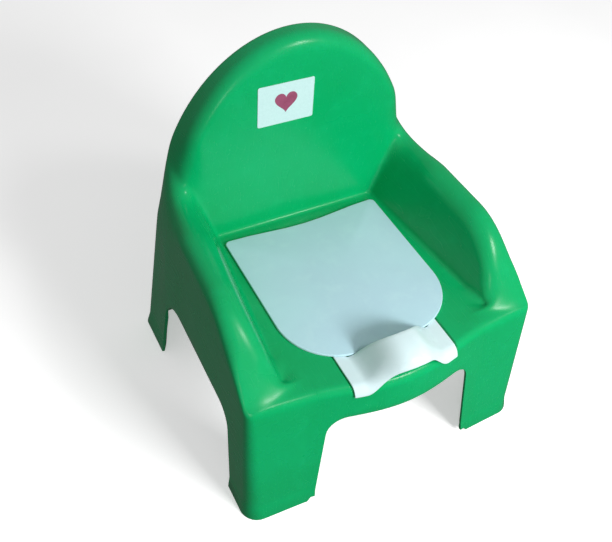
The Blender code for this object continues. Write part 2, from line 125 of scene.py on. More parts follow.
# Seat well and what fits in it: every outline is the lid's outline drawn in by an inset
LID_HALF_WIDTH = 0.092
LID_REAR = 0.084
LID_REAR_HOLLOW = 0.006
LID_CORNER = 0.005
LID_ARC_START = -0.040
LID_FRONT_FLAT = 0.030
LID_ARC_DEPTH = 0.0605
SEAT_LAP = 0.003
BOWL_PLAY = 0.0007
LEDGE_WIDTH = 0.009
WELL_DEPTH = 0.0026
WELL_LIP = 0.006
BOWL_DEPTH = 0.092
BOWL_TAPER = 0.20
BOWL_FLOOR_ROUND = 0.018
LID_RIB_HEIGHT = 0.005
LID_RIB_WALL = 0.0018
LID_RIB_PLAY = 0.0010

# Tongue of the bowl and the vaulted guard that it carries over the front of the seat
TONGUE_HALF_WIDTH = 0.058
TONGUE_PLAY = 0.0012
TONGUE_LAP = 0.013
TONGUE_DROP = 0.010
TONGUE_WALL = 0.002
TONGUE_STEP = 0.0001
GUARD_HALF_SPAN = 0.0465
GUARD_CLEARANCE = 0.0007
GUARD_BOW = 0.011
GUARD_LENGTH = 0.035
GUARD_CREST = SEAT_HEIGHT + 0.029
GUARD_LIP = SEAT_HEIGHT + 0.018
GUARD_FLATNESS = 1.4

# Sticker on the backrest
LABEL_WIDTH = 0.061
LABEL_HEIGHT = 0.0445
LABEL_THICKNESS = 0.0004
LABEL_X = -0.018
LABEL_CENTRE = HEIGHT - 0.064
LABEL_CORNER = 0.002
LABEL_CORNER_STEPS = 6
MARK_SIZE = 0.026
MARK_POINTS = 64
# Film, ink and the height at which the ink starts, as shares of the label's thickness
FILM_SHARE = 0.6
INK_SHARE = 0.2
MARK_LIFT_SHARE = 0.65
# The mark's size holds this many units of the heart's formula, which is shifted up by the drop
HEART_SPAN = 34
HEART_DROP = 2.5

# Fineness of the visible surfaces
ARC_STEPS = 7
STATION_SPACING = 0.0045
JUNCTION_STEPS = 16
RUN_ROWS = (4, 12, 4)
WALL_ROWS = 14
PLATE_ARC_STEPS = 24
TONGUE_COLUMNS = 96
TONGUE_ARC_STEPS = 10
TONGUE_FLAT_STEPS = 6
LID_EDGE_STEPS = 4
LID_CROWN_SHARE = 0.45
BOWL_CENTRE_SHARE = 0.35
EDGE_ROUND = 0.0005
EDGE_ANGLE = math.radians(50)
SHARP_ANGLE = math.radians(45)
BOX_MARGIN = 0.00002

# Where the chair's skin is melted together: the arm's front end and the foot of the arch
ARM_TOE_BEHIND = 0.020
ARM_TOE_REACH = 0.036
ARCH_FOOT_INNER = Vector((0.130, 0.102, 0.222))
ARCH_FOOT_REACH = 0.062
RELAX_TURNS = 120
RELAX_CORE = 0.4

# Colours
GREEN = (0.001, 0.385, 0.125)
GREEN_DEEP = (0.001, 0.355, 0.108)
GREEN_PALE = (0.004, 0.430, 0.150)
WHITE = (0.68, 0.84, 0.86)
WHITE_DEEP = (0.62, 0.79, 0.82)
WHITE_PALE = (0.74, 0.88, 0.90)
GREY = (0.50, 0.75, 0.82)
GREY_DEEP = (0.47, 0.68, 0.77)
GREY_PALE = (0.55, 0.78, 0.83)
LABEL_WHITE = (0.56, 0.77, 0.76)
LABEL_SHADE = (0.50, 0.71, 0.70)
INK_DARK = (0.20, 0.035, 0.085)
INK_LIGHT = (0.36, 0.09, 0.17)
PAPER_SHADE = (0.88, 0.88, 0.88)
PAPER_WHITE = (0.93, 0.93, 0.93)

# Scales of the surface detail, in noise cells to the metre
PIGMENT_SCALE = 9
STREAK_SCALE = 60
PATCH_SCALE = 14
SCUFF_SCALE = 220
FLOW_SCALE = 22
GRAIN_SCALE = 1400
FIBRE_SCALE = 420
FILM_GLOSS_SCALE = 60
DOT_SCALE = 1500
INK_PATCH_SCALE = 90
PAPER_SCALE = 3

# The values between which most of a noise lies, and the bumps' depths and strengths
NOISE_SPAN = (0.3, 0.7)
FLOW_DEPTH = 0.0006
FINE_DEPTH = 0.0001
GRAIN_STRENGTH = 0.10
NICK_STRENGTH = 0.15
FIBRE_STRENGTH = 0.08

# Plastic
PLASTIC_IOR = 1.49
PLASTIC_SPECULAR = 0.4
GLOW_DEPTH = 0.004
SCUFF_WIDTH = 0.006
SCUFF_STRETCH = (1, 0.06, 0.3)
SCUFF_TURN = (0.4, 0.7, 0.9)

# Studio: each softbox has its direction from the seat, distance, size, power, and whether gloss shows it
KEY_LIGHT = ((0.28, -0.84, 0.47), 1.6, (0.55, 0.45), 24, False)
SPARK_LIGHT = ((0.37, -0.52, 0.77), 1.4, (0.20, 0.20), 4.0, True)
RIM_LIGHT = ((-0.50, -0.77, 0.40), 1.4, (0.12, 0.60), 1.2, True)
WORLD_ABOVE = 0.32
WORLD_BELOW = 0.12
HORIZON_BLEND = 0.35
FLOOR_RADIUS = 4
FLOOR_RINGS = 4
FLOOR_SPOKES = 48
FLOOR_DROP = 0.0005
FLOOR_GLOW = 0.45
WALL_HEIGHT = 6
BEND_STEPS = 16

# Camera: azimuth, elevation and roll in degrees, lens and sensor in millimetres
CAMERA_ANGLES = (-32.69, 46.56, 6.79)
CAMERA_LENS = 45.64
CAMERA_SENSOR = 36
CAMERA_CLIP = 0.01
CAMERA_PLACE = Vector((-0.32898, -0.45075, 0.73915))

# Levels that follow from the sizes above
LEDGE = SEAT_HEIGHT - WELL_DEPTH
FLANGE_TOP = LEDGE + GAP + BOWL_WALL
LID_TOP = SEAT_HEIGHT + GAP + LID_THICKNESS
REAR_FOOT = DEPTH / 2 - FOOT_FLARE
HOLE_INSET = SEAT_LAP + LEDGE_WIDTH
WELL_FRONT_REACH = LID_HALF_WIDTH - HOLE_INSET
# Share of the stations round the rear corner that its arcs take, and the steps of those arcs
CORNER_SPAN = (0.3, 0.7)
CORNER_ARC_STEPS = 8
# Share of a straight stretch that the arcs at its ends may take together
ARC_REACH = 0.96
# Where the tongue starts and ends its lap under the lid, in half spans of the guard
TONGUE_LAP_SPAN = (0.99, 1.12)
# Stations over the rear legs: the turn of the arch where they end, and their steps
LEG_TURN = 0.78
LEG_STEPS = 16
LEG_CLEARANCE = 0.002


def mix(a, b, share):
    return a + (b - a) * share


def smooth(low, high, value):
    share = min(1, max(0, (value - low) / (high - low)))
    return share * share * (3 - 2 * share)


def rounded(points, radii, steps):
    """The open path through points, each inner corner an arc of steps segments even if it hardly turns."""
    path = [points[0]]
    around = [0, *radii, 0]
    for index, radius in enumerate(radii):
        before, corner, after = points[index : index + 3]
        back = before - corner
        ahead = after - corner
        half_turn = (math.pi - back.angle(ahead, math.pi)) / 2
        setback = max(radius * math.tan(half_turn), radius / 4)
        # Two arcs share the stretch between them in proportion to their radii.
        setback = min(setback, ARC_REACH * back.length * radius / (radius + around[index]))
        setback = min(setback, ARC_REACH * ahead.length * radius / (radius + around[index + 2]))
        start = corner + back.normalized() * setback
        end = corner + ahead.normalized() * setback
        weight = math.cos(half_turn)
        for step in range(steps + 1):
            t = step / steps
            a, b, c = (1 - t) ** 2, 2 * t * (1 - t) * weight, t * t
            path.append((start * a + corner * b + end * c) / (a + b + c))
    path.append(points[-1])
    return path


def round_corner(start, corner, end, radius, share):
    """A point on the way from start to end round a corner, whose arc takes the middle part of the way."""
    path = rounded([start, corner, end], [radius], CORNER_ARC_STEPS)
    low, high = CORNER_SPAN
    if share <= low:
        return mix(path[0], path[1], share / low)
    if share >= high:
        return mix(path[-2], path[-1], (share - high) / (1 - high))
    step = (share - low) / (high - low) * CORNER_ARC_STEPS
    first = min(CORNER_ARC_STEPS - 1, int(step))
    return mix(path[1 + first], path[2 + first], step - first)


# Outer walls


def bow(x):
    return BOW_DEPTH * (1 + math.cos(math.pi * min(abs(x), BOW_HALF_SPAN) / BOW_HALF_SPAN)) / 2


# The toe of a front leg, where the bow still shows a little, is the foremost point of the chair.
FRONT_FOOT = FOOT_FLARE + bow(TOE_NOTCH[1]) - DEPTH / 2
ARM_START = FRONT_FOOT + FRONT_DRAFT * SEAT_HEIGHT + ARM_RAMP


def side_x(y, z):
    draft = mix(SIDE_DRAFT_FRONT, SIDE_DRAFT_REAR, y / DEPTH + 0.5)
    return WIDTH / 2 - FOOT_FLARE - draft * z


def front_y(x, z):
    return FRONT_FOOT + FRONT_DRAFT * z - bow(x)


def rear_y(z):
    return REAR_FOOT - REAR_DRAFT * z


def face_y(z):
    return BACK_FOOT + BACK_LEAN * (z - SEAT_HEIGHT)


def arm_rise(y):
    """Height of the arm's crest above the seat: a long gentle rise with a ramp at its front."""
    level = ARM_HEIGHT - SEAT_HEIGHT + ARM_RISE * y
    run = y - ARM_START
    if abs(run) < ARM_RAMP:
        run = (run + ARM_RAMP) ** 2 / (4 * ARM_RAMP)
    slope = ARM_FRONT_SLOPE * max(0, run)
    soft = max(ARM_FRONT_BLEND - abs(level - slope) / 2, 0)
    return min(level, slope) - soft * soft / (2 * ARM_FRONT_BLEND)


def foot_x(y):
    return ARM_FOOT - ARM_FOOT_TAPER * y


def arm_top(y):
    rise = arm_rise(y)
    return Vector((foot_x(y) + ARM_LEAN * rise, y, SEAT_HEIGHT + rise))


def opening(top, bottom, height, radius, steps):
    """Outline of one side of an opening, from its flat top out and down to the floor."""
    inner = top - math.copysign(2 * radius, top)
    corners = [Vector((inner, height)), Vector((top, height)), Vector((bottom, 0))]
    return rounded(corners, [radius], steps)[1:]


# The seat well: one outline, drawn in by an inset, with a position that runs from 0 to 5 along its half


def plate_point(position, inset):
    """0-1 front flat, 1-2 front arc, 2-3 side, 3-4 rear corner, 4-5 rear edge."""
    half = LID_HALF_WIDTH - inset
    rear = LID_REAR - inset
    depth = LID_ARC_DEPTH - inset
    corner = LID_CORNER + inset
    part = min(4, int(position))
    share = position - part
    if part == 0:
        return Vector((LID_FRONT_FLAT * share, LID_ARC_START - depth))
    if part == 1:
        turn = math.pi / 2 * share
        reach = half - LID_FRONT_FLAT
        return Vector((LID_FRONT_FLAT + reach * math.sin(turn), LID_ARC_START - depth * math.cos(turn)))
    if part == 2:
        return Vector((half, mix(LID_ARC_START, rear - corner, share)))
    if part == 3:
        turn = math.pi / 2 * share
        return Vector((half - corner + corner * math.cos(turn), rear - corner + corner * math.sin(turn)))
    x = (half - corner) * (1 - share)
    hollow = LID_REAR_HOLLOW * math.cos(math.pi / 2 * x / (half - corner)) ** 2
    return Vector((x, rear - hollow))


def plate_positions(arc_steps):
    """Positions that suit a plate of its own: flats in one or two steps, round parts in more."""
    spans = (2, arc_steps, 4, max(3, arc_steps // 2), 4)
    positions = [part + step / steps for part, steps in enumerate(spans) for step in range(steps)]
    return positions + [5]


def front_position(x):
    """Where the edge of the seat well lies at this x, as a position along the outline."""
    reach = LID_HALF_WIDTH - SEAT_LAP - LID_FRONT_FLAT
    if x < LID_FRONT_FLAT:
        return x / LID_FRONT_FLAT
    return 1 + math.asin((x - LID_FRONT_FLAT) / reach) / (math.pi / 2)


def guard_rear(x, lift):
    """The rear edge of the tongue: clear of the lid's edge under the vault, and below the lid beside it."""
    beside = smooth(*TONGUE_LAP_SPAN, abs(x) / GUARD_HALF_SPAN)
    bend = max(0, abs(x) - LID_FRONT_FLAT) / (LID_HALF_WIDTH - LID_FRONT_FLAT)
    lid_edge = LID_ARC_START - LID_ARC_DEPTH * math.cos(math.asin(bend))
    return lid_edge - GUARD_CLEARANCE - GUARD_BOW * lift**2 + TONGUE_LAP * beside


# The same design as the part's, with finer steps: these two add points on straight stretches


def filled(edges):
    """The edge points (place, height), with more of them where two lie far apart."""
    made = [edges[0]]
    for before, after in zip(edges, edges[1:]):
        count = max(1, round(math.hypot(after[0] - before[0], after[1] - before[1]) / STATION_SPACING))
        if abs(after[0] - before[0]) < STATION_SPACING:
            count = 1
        made += [tuple(mix(Vector(before), Vector(after), step / count)) for step in range(1, count + 1)]
    return made


def with_rows(crest, steps):
    """The crest's path, with rows on the straight runs before each of its three arcs."""
    made = [crest[0]]
    for arc, rows in enumerate(RUN_ROWS):
        first = 1 + arc * (steps + 1)
        made += [mix(crest[first - 1], crest[first], row / rows) for row in range(1, rows)]
        made += crest[first:first + steps + 1]
    return made


# Sections of the chair, from the middle of the front round to the middle of the back


def section(position, foot, inner, outer, floor, rounds, bottom, out, drop=0):
    """One station of the loft. Inner and outer are the corners of its crest; out points away from it."""
    return {
        "position": position, "foot": foot, "inner": inner, "outer": outer, "floor": floor,
        "rounds": rounds, "bottom": bottom, "out": out, "drop": drop,
    }


def front_sections(steps):
    """Across the seat front, with the tongue's channel in the middle and a front leg at the end."""
    channel = TONGUE_HALF_WIDTH + TONGUE_PLAY
    top, bottom, height, radius = FRONT_OPENING
    notch_in, notch_out, notch = TOE_NOTCH
    edges = [(x, height) for x in (0, channel / 3, channel * 2 / 3, channel, channel + GAP * 4)]
    for point in opening(top, bottom, height, radius, steps):
        if point.x > edges[-1][0] + GAP:
            edges.append((point.x, max(point.y, notch)))
    edges = filled(edges + [(notch_in, notch), (notch_out, 0), (FRONT_STRAIGHT, 0)])
    made = []
    for x, bottom_z in edges:
        drop = WELL_DEPTH if x < channel + GAP else 0
        top_z = SEAT_HEIGHT - drop
        edge = front_y(x, top_z)
        beside = min(x, WELL_FRONT_REACH)
        well = plate_point(front_position(beside), SEAT_LAP).y
        made.append(
            section(
                front_position(x) if x == beside else None,
                Vector((x, mix(edge, well, SEAT_SHARE_FOOT), top_z)),
                Vector((x, mix(edge, well, SEAT_SHARE_INNER), top_z)),
                Vector((x, edge, top_z)),
                Vector((x, front_y(x, 0), 0)),
                (SEAT_FLAT_ROUND, SEAT_FLAT_ROUND, SEAT_EDGE_RADIUS),
                bottom_z,
                Vector((0, -1, 0)),
                drop,
            )
        )
    return made


def corner_sections(steps):
    """Round the front corner, where the arm grows out of the seat."""
    made = []
    seat_edge = front_y(BOW_HALF_SPAN, SEAT_HEIGHT)
    for step in range(steps + 1):
        turn = math.pi / 2 * step / steps
        share = step / steps
        outer_y = seat_edge + CORNER_RADIUS * (1 - math.cos(turn))
        outer_z = SEAT_HEIGHT + arm_rise(outer_y)
        outer_x = side_x(outer_y, outer_z) - CORNER_RADIUS * (1 - math.sin(turn))
        floor_y = FRONT_FOOT + FOOT_CORNER_RADIUS * (1 - math.cos(turn))
        floor_x = side_x(floor_y, 0) - FOOT_CORNER_RADIUS * (1 - math.sin(turn))
        inner_y = seat_edge + mix(*ARM_SETBACK, share)
        foot_y = seat_edge + mix(*ARM_FOOT_SETBACK, share)
        made.append(
            section(
                None,
                Vector((foot_x(foot_y), foot_y, SEAT_HEIGHT)),
                arm_top(inner_y),
                Vector((outer_x, outer_y, outer_z)),
                Vector((floor_x, floor_y, 0)),
                (
                    mix(SEAT_FLAT_ROUND, COVE, share),
                    mix(SEAT_FLAT_ROUND, ARM_INNER_ROUND, share),
                    mix(SEAT_EDGE_RADIUS, SHOULDER_ROUND, math.sin(turn)),
                ),
                0,
                Vector((math.sin(turn), -math.cos(turn), 0)),
            )
        )
    return made


def side_sections(steps):
    """Along the arm, with the opening between the front and the rear leg below it."""
    front = opening(*SIDE_OPENING_FRONT, steps)
    rear = opening(*SIDE_OPENING_REAR, steps)
    edges = [(point.x, point.y) for point in reversed(front)]
    edges += [(mix(front[0].x, rear[0].x, share), front[0].y) for share in (0.33, 0.67)]
    edges = filled(edges + [(point.x, point.y) for point in rear])
    made = []
    shoulder = edges[0][0]
    for y, bottom_z in edges:
        outer_round = mix(SHOULDER_ROUND, ARM_OUTER_ROUND, smooth(shoulder, SHOULDER_END, y))
        back = max(0, (y - ARM_SQUEEZE_START) / (ARM_REAR - ARM_SQUEEZE_START))
        inner_y = y if back == 0 else mix(ARM_SQUEEZE_START, ARM_FOOT_REAR, back)
        crest = arm_top(inner_y)
        outer_z = SEAT_HEIGHT + arm_rise(y)
        along = (inner_y - LID_ARC_START) / (LID_REAR + SEAT_LAP - LID_ARC_START)
        made.append(
            section(
                2 + along if along > 0 else None,
                Vector((foot_x(inner_y), inner_y, SEAT_HEIGHT)),
                crest,
                Vector((side_x(y, outer_z), y, outer_z)),
                Vector((side_x(y, 0), y, 0)),
                (COVE, ARM_INNER_ROUND, outer_round),
                bottom_z,
                Vector((1, 0, 0)),
            )
        )
    return made


def arch_point(angle, y_at):
    z = ARCH_CENTRE + (HEIGHT - ARCH_CENTRE) * math.sin(angle)
    return Vector((ARCH_HALF_WIDTH * math.cos(angle), y_at(z), z))


def back_sections(steps):
    """Over the arch of the backrest, from its side up to the middle."""
    top, bottom, height, radius = REAR_OPENING
    edges = [(point.x, point.y) for point in reversed(opening(top, bottom, height, radius, steps))]
    edges += [(edges[-1][0] * share, height) for share in (0.67, 0.33, 0)]
    turns = [mix(ARCH_START, LEG_TURN, step / LEG_STEPS) for step in range(LEG_STEPS + 1)]
    legs = [(ARCH_HALF_WIDTH * math.cos(turn), 0) for turn in turns]
    legs = [leg for leg in legs if leg[0] > bottom + LEG_CLEARANCE]
    made = []
    for x, bottom_z in filled(legs + edges):
        angle = math.acos(x / ARCH_HALF_WIDTH)
        share = x / (ARCH_HALF_WIDTH * math.cos(ARCH_START))
        made.append(
            section(
                5 - 0.98 * share,
                Vector((BACK_FOOT_HALF_WIDTH * share, BACK_FOOT, SEAT_HEIGHT)),
                arch_point(angle, face_y),
                arch_point(angle, rear_y),
                Vector((x, REAR_FOOT, 0)),
                (COVE, RIM_FRONT_ROUND, RIM_REAR_ROUND),
                bottom_z,
                Vector((0, 1, 0)),
            )
        )
    return made


def junction_sections(arm, back, steps):
    """Between the end of the arm and the side of the backrest, round the rear corner of the chair."""
    shares = [step / steps for step in range(1, steps)]
    foot_corner = Vector((BACK_FOOT_CORNER, BACK_FOOT, SEAT_HEIGHT))
    arch_x, arch_z = ARCH_FOOT
    inner_x = mix(arm["inner"].x, arch_x, 0.25)
    inner_corner = Vector((inner_x, face_y(arch_z), mix(arm["inner"].z, arch_z, 0.5)))
    outer_corner = Vector((arch_x, rear_y(arch_z), arch_z))
    floor_corner = Vector((side_x(REAR_FOOT, 0), REAR_FOOT, 0))
    made = []
    for share in shares:
        turn = math.pi / 2 * smooth(*CORNER_SPAN, share)
        made.append(
            section(
                mix(arm["position"], back["position"], share),
                round_corner(arm["foot"], foot_corner, back["foot"], FOOT_TURN_RADIUS, share),
                round_corner(arm["inner"], inner_corner, back["inner"], CREST_TURN_RADIUS, share),
                round_corner(arm["outer"], outer_corner, back["outer"], CREST_TURN_RADIUS, share),
                round_corner(arm["floor"], floor_corner, back["floor"], REAR_CORNER_RADIUS, share),
                (
                    COVE,
                    mix(ARM_INNER_ROUND, RIM_FRONT_ROUND, share),
                    mix(ARM_OUTER_ROUND, RIM_REAR_ROUND, share),
                ),
                0,
                Vector((math.cos(turn), math.sin(turn), 0)),
            )
        )
    return made


def chair_sections(steps):
    front = front_sections(steps)
    corner = corner_sections(steps)
    side = side_sections(steps)
    back = back_sections(steps)
    junction = junction_sections(side[-1], back[0], JUNCTION_STEPS)
    stations = front + corner + side + junction + back
    # From the front leg round to the straight side of the seat well, the stations share its arc evenly.
    placed = [station["position"] is not None for station in stations]
    first = placed.index(False) - 1
    last = len(front + corner) + sum(station["position"] is None for station in side)
    for index in range(first + 1, last):
        share = (index - first) / (last - first)
        stations[index]["position"] = mix(stations[first]["position"], stations[last]["position"], share)
    return stations


def wall_point(station, start, z):
    """On the drafted outer wall, below the crest's rounding."""
    end = station["floor"]
    return mix(start, end, (start.z - z) / (start.z - end.z))


def chair_profile(station, steps):
    """From the lip of the seat well, over the crest, down to the bottom edge."""
    level = SEAT_HEIGHT - station["drop"]
    hole = plate_point(station["position"], HOLE_INSET)
    ledge = plate_point(station["position"], SEAT_LAP)
    points = [
        hole.to_3d() + Vector((0, 0, LEDGE - WELL_LIP)),
        hole.to_3d() + Vector((0, 0, LEDGE)),
        ledge.to_3d() + Vector((0, 0, LEDGE)),
    ]
    points.append(ledge.to_3d() + Vector((0, 0, level + (GAP if station["drop"] else 0))))
    crest = rounded(
        [points[-1], station["foot"], station["inner"], station["outer"], station["floor"]],
        station["rounds"],
        steps,
    )
    points += with_rows(crest[:-1], steps)[1:]
    top = points[-1]
    knee = max(FOOT_HEIGHT, station["bottom"] + FOOT_HEIGHT / 2)
    for row in range(WALL_ROWS):
        points.append(wall_point(station, top, mix(top.z, knee, (row + 1) / WALL_ROWS)))
    foot = wall_point(station, top, station["bottom"])
    flare = FOOT_FLARE * max(0, 1 - station["bottom"] / FOOT_HEIGHT)
    points.append(foot + station["out"] * flare)
    return points


# Mesh helpers


def sheet(name, columns, extra_faces=(), extra_points=()):
    """A grid of faces between columns of points of equal length."""
    rows = len(columns[0])
    points = [point for column in columns for point in column] + list(extra_points)
    faces = []
    for column in range(len(columns) - 1):
        for row in range(rows - 1):
            first = column * rows + row
            faces.append((first, first + 1, first + rows + 1, first + rows))
    mesh = bpy.data.meshes.new(name)
    mesh.from_pydata([tuple(point) for point in points], [], faces + list(extra_faces))
    return mesh


def add_object(name, mesh, material):
    thing = bpy.data.objects.new(name, mesh)
    bpy.context.scene.collection.objects.link(thing)
    mesh.materials.append(material)
    return thing


def thicken(thing, wall):
    solid = thing.modifiers.new("Wall", "SOLIDIFY")
    solid.thickness = wall
    solid.offset = -1
    solid.use_even_offset = True


def mirror(thing):
    double = thing.modifiers.new("Mirror", "MIRROR")
    double.merge_threshold = 0.0001


def soften_edges(thing):
    """Rounds the sharp edges a little."""
    bevel = thing.modifiers.new("Edges", "BEVEL")
    bevel.width = EDGE_ROUND
    bevel.segments = 2
    bevel.limit_method = "ANGLE"
    bevel.angle_limit = EDGE_ANGLE


def relax(thing, centres):
    """Melts the surface together near some points; each centre is (point, radius)."""
    group = thing.vertex_groups.new(name="relaxed")
    for vertex in thing.data.vertices:
        weight = 0
        for centre, radius in centres:
            weight = max(weight, 1 - smooth(radius * RELAX_CORE, radius, (vertex.co - centre).length))
        if weight > 0:
            group.add([vertex.index], weight, "REPLACE")
    melt = thing.modifiers.new("Relax", "SMOOTH")
    melt.vertex_group = group.name
    melt.factor = 0.5
    melt.iterations = RELAX_TURNS


def settle(thing):
    """Applies all modifiers, so that the mesh can be finished point by point."""
    graph = bpy.context.evaluated_depsgraph_get()
    mesh = bpy.data.meshes.new_from_object(thing.evaluated_get(graph), depsgraph=graph)
    thing.modifiers.clear()
    thing.data = mesh


def keep_inside(thing, node, floor=None):
    """No point leaves the box of the solid that this surface stands for."""
    low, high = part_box(node)
    low = np.array(low) + BOX_MARGIN
    high = np.array(high) - BOX_MARGIN
    if floor is not None:
        low[2] = floor
    points = np.empty(len(thing.data.vertices) * 3, np.float32)
    thing.data.vertices.foreach_get("co", points)
    points = np.clip(points.reshape(-1, 3), low, high)
    thing.data.vertices.foreach_set("co", points.reshape(-1).astype(np.float32))
    thing.data.update()


def finish_piece(thing, body, slot, *nodes):
    thing.data.shade_smooth()
    thing.data.set_sharp_from_angle(angle=SHARP_ANGLE)
    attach(thing, body)
    if nodes:
        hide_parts(*nodes)


# Materials


class Nodes:
    """Adds nodes to a material and links them: each call returns the new node's main output."""

    def __init__(self, name):
        self.material = bpy.data.materials.new(name)
        self.material.use_nodes = True
        self.tree = self.material.node_tree
        self.shader = self.tree.nodes["Principled BSDF"]
        self.place = self.add("ShaderNodeTexCoord").outputs["Object"]

    def add(self, kind, **inputs):
        node = self.tree.nodes.new(kind)
        for key, value in inputs.items():
            self.put(node, key.replace("_", " ").title(), value)
        return node

    def put(self, node, socket, value):
        if isinstance(value, bpy.types.NodeSocket):
            self.tree.links.new(value, node.inputs[socket])
        else:
            node.inputs[socket].default_value = value

    def noise(self, scale, detail=2, rough=0.5):
        node = self.add("ShaderNodeTexNoise", scale=scale, detail=detail, roughness=rough)
        self.put(node, "Vector", self.place)
        return node.outputs["Fac"]

    def span(self, value, low, high, to_low, to_high):
        node = self.tree.nodes.new("ShaderNodeMapRange")
        for socket, number in zip(range(5), (value, low, high, to_low, to_high)):
            self.put(node, socket, number)
        return node.outputs["Result"]

    def added(self, *values):
        total = values[0]
        for value in values[1:]:
            node = self.tree.nodes.new("ShaderNodeMath")
            node.operation = "ADD"
            self.put(node, 0, total)
            self.put(node, 1, value)
            total = node.outputs[0]
        return total

    def blend(self, share, first, second):
        node = self.tree.nodes.new("ShaderNodeMix")
        node.data_type = "RGBA"
        self.put(node, 0, share)
        for socket, colour in ((6, first), (7, second)):
            self.put(node, socket, colour if isinstance(colour, bpy.types.NodeSocket) else (*colour, 1))
        return node.outputs[2]

    def bump(self, height, strength, distance, under=None):
        node = self.add("ShaderNodeBump", strength=strength, distance=distance, height=height)
        if under is not None:
            self.put(node, "Normal", under)
        return node.outputs["Normal"]

    def scratches(self, scale, threshold):
        """Thin random hairlines: a stretched, warped noise kept only near its middle value."""
        warp = self.add("ShaderNodeMapping", scale=tuple(scale * part for part in SCUFF_STRETCH))
        self.put(warp, "Rotation", SCUFF_TURN)
        self.put(warp, "Vector", self.place)
        node = self.add("ShaderNodeTexNoise", scale=1, detail=1)
        self.put(node, "Vector", warp.outputs["Vector"])
        gap = self.tree.nodes.new("ShaderNodeMath")
        gap.operation = "SUBTRACT"
        self.put(gap, 0, node.outputs["Fac"])
        gap.inputs[1].default_value = 0.5
        size = self.tree.nodes.new("ShaderNodeMath")
        size.operation = "ABSOLUTE"
        self.put(size, 0, gap.outputs[0])
        return self.span(size.outputs[0], 0, threshold, 1, 0)


def moulded_plastic(name, main, deep, pale, roughness, glow_radius, glow=0.0, waves=0.6):
    """Moulded polyolefin: streaky pigment, a skin with faint flow waves and fine grain, light scuffs."""
    m = Nodes(name)
    pigment = m.noise(PIGMENT_SCALE, 4, 0.55)
    streaks = m.noise(STREAK_SCALE, 3, 0.6)
    colour = m.blend(m.span(pigment, 0.35, 0.65, 0, 1), deep, main)
    colour = m.blend(m.span(streaks, 0.52, 0.75, 0, 0.35), colour, pale)
    scuffs = m.scratches(SCUFF_SCALE, SCUFF_WIDTH)
    patches = m.noise(PATCH_SCALE, 3, 0.6)
    worn = m.tree.nodes.new("ShaderNodeMath")
    worn.operation = "MULTIPLY"
    m.put(worn, 0, scuffs)
    m.put(worn, 1, m.span(patches, 0.55, 0.75, 0, 0.35))
    colour = m.blend(worn.outputs[0], colour, pale)
    m.put(m.shader, "Base Color", colour)
    uneven = m.span(patches, *NOISE_SPAN, roughness - 0.03, roughness + 0.05)
    m.put(m.shader, "Roughness", m.added(uneven, m.span(scuffs, 0, 1, 0, 0.12)))
    flow = m.bump(m.noise(FLOW_SCALE, 2, 0.5), waves, FLOW_DEPTH)
    grain = m.bump(m.noise(GRAIN_SCALE, 2, 0.6), GRAIN_STRENGTH, FINE_DEPTH, flow)
    nicks = m.bump(worn.outputs[0], NICK_STRENGTH, FINE_DEPTH, grain)
    m.put(m.shader, "Normal", nicks)
    m.shader.inputs["IOR"].default_value = PLASTIC_IOR
    m.shader.inputs["Specular IOR Level"].default_value = PLASTIC_SPECULAR
    m.shader.inputs["Subsurface Weight"].default_value = glow
    m.shader.inputs["Subsurface Radius"].default_value = glow_radius
    m.shader.inputs["Subsurface Scale"].default_value = GLOW_DEPTH
    return m.material


def label_film():
    """Printed vinyl: a cool white ground with faint fibre and a soft gloss."""
    m = Nodes("label_film")
    fibre = m.noise(FIBRE_SCALE, 4, 0.7)
    m.put(m.shader, "Base Color", m.blend(m.span(fibre, *NOISE_SPAN, 0, 1), LABEL_SHADE, LABEL_WHITE))
    m.put(m.shader, "Roughness", m.span(m.noise(FILM_GLOSS_SCALE, 3), *NOISE_SPAN, 0.32, 0.45))
    m.put(m.shader, "Normal", m.bump(fibre, FIBRE_STRENGTH, FINE_DEPTH))
    return m.material


def print_ink():
    """Raspberry ink laid on in fine dots, a little uneven."""
    m = Nodes("print_ink")
    dots = m.add("ShaderNodeTexVoronoi", scale=DOT_SCALE)
    m.put(dots, "Vector", m.place)
    patches = m.span(m.noise(INK_PATCH_SCALE, 3), *NOISE_SPAN, 0, 0.5)
    tone = m.added(m.span(dots.outputs["Distance"], 0, 0.7, 0, 0.5), patches)
    m.put(m.shader, "Base Color", m.blend(tone, INK_DARK, INK_LIGHT))
    m.put(m.shader, "Roughness", m.span(tone, 0, 1, 0.35, 0.5))
    return m.material


# The pieces


def chair_moulding():
    """The chair: one fine skin, melted together where the arms meet the seat and the back, then thickened."""
    columns = [chair_profile(station, ARC_STEPS) for station in chair_sections(ARC_STEPS)]
    plastic = moulded_plastic("green_plastic", GREEN, GREEN_DEEP, GREEN_PALE, 0.24, (0.2, 1.0, 0.4), 0.08)
    thing = add_object("chair_moulding", sheet("chair_moulding", columns), plastic)
    seat_edge = FRONT_FOOT + FRONT_DRAFT * SEAT_HEIGHT
    arm_toe = Vector((foot_x(seat_edge), seat_edge + ARM_TOE_BEHIND, SEAT_HEIGHT))
    relax(thing, [(arm_toe, ARM_TOE_REACH), (ARCH_FOOT_INNER, ARCH_FOOT_REACH)])
    mirror(thing)
    thicken(thing, CHAIR_WALL)
    settle(thing)
    keep_inside(thing, "chair_shell", 0)
    soften_edges(thing)
    settle(thing)
    keep_inside(thing, "chair_shell", 0)
    finish_piece(thing, "chair", "green_plastic", "chair_shell")
    return thing


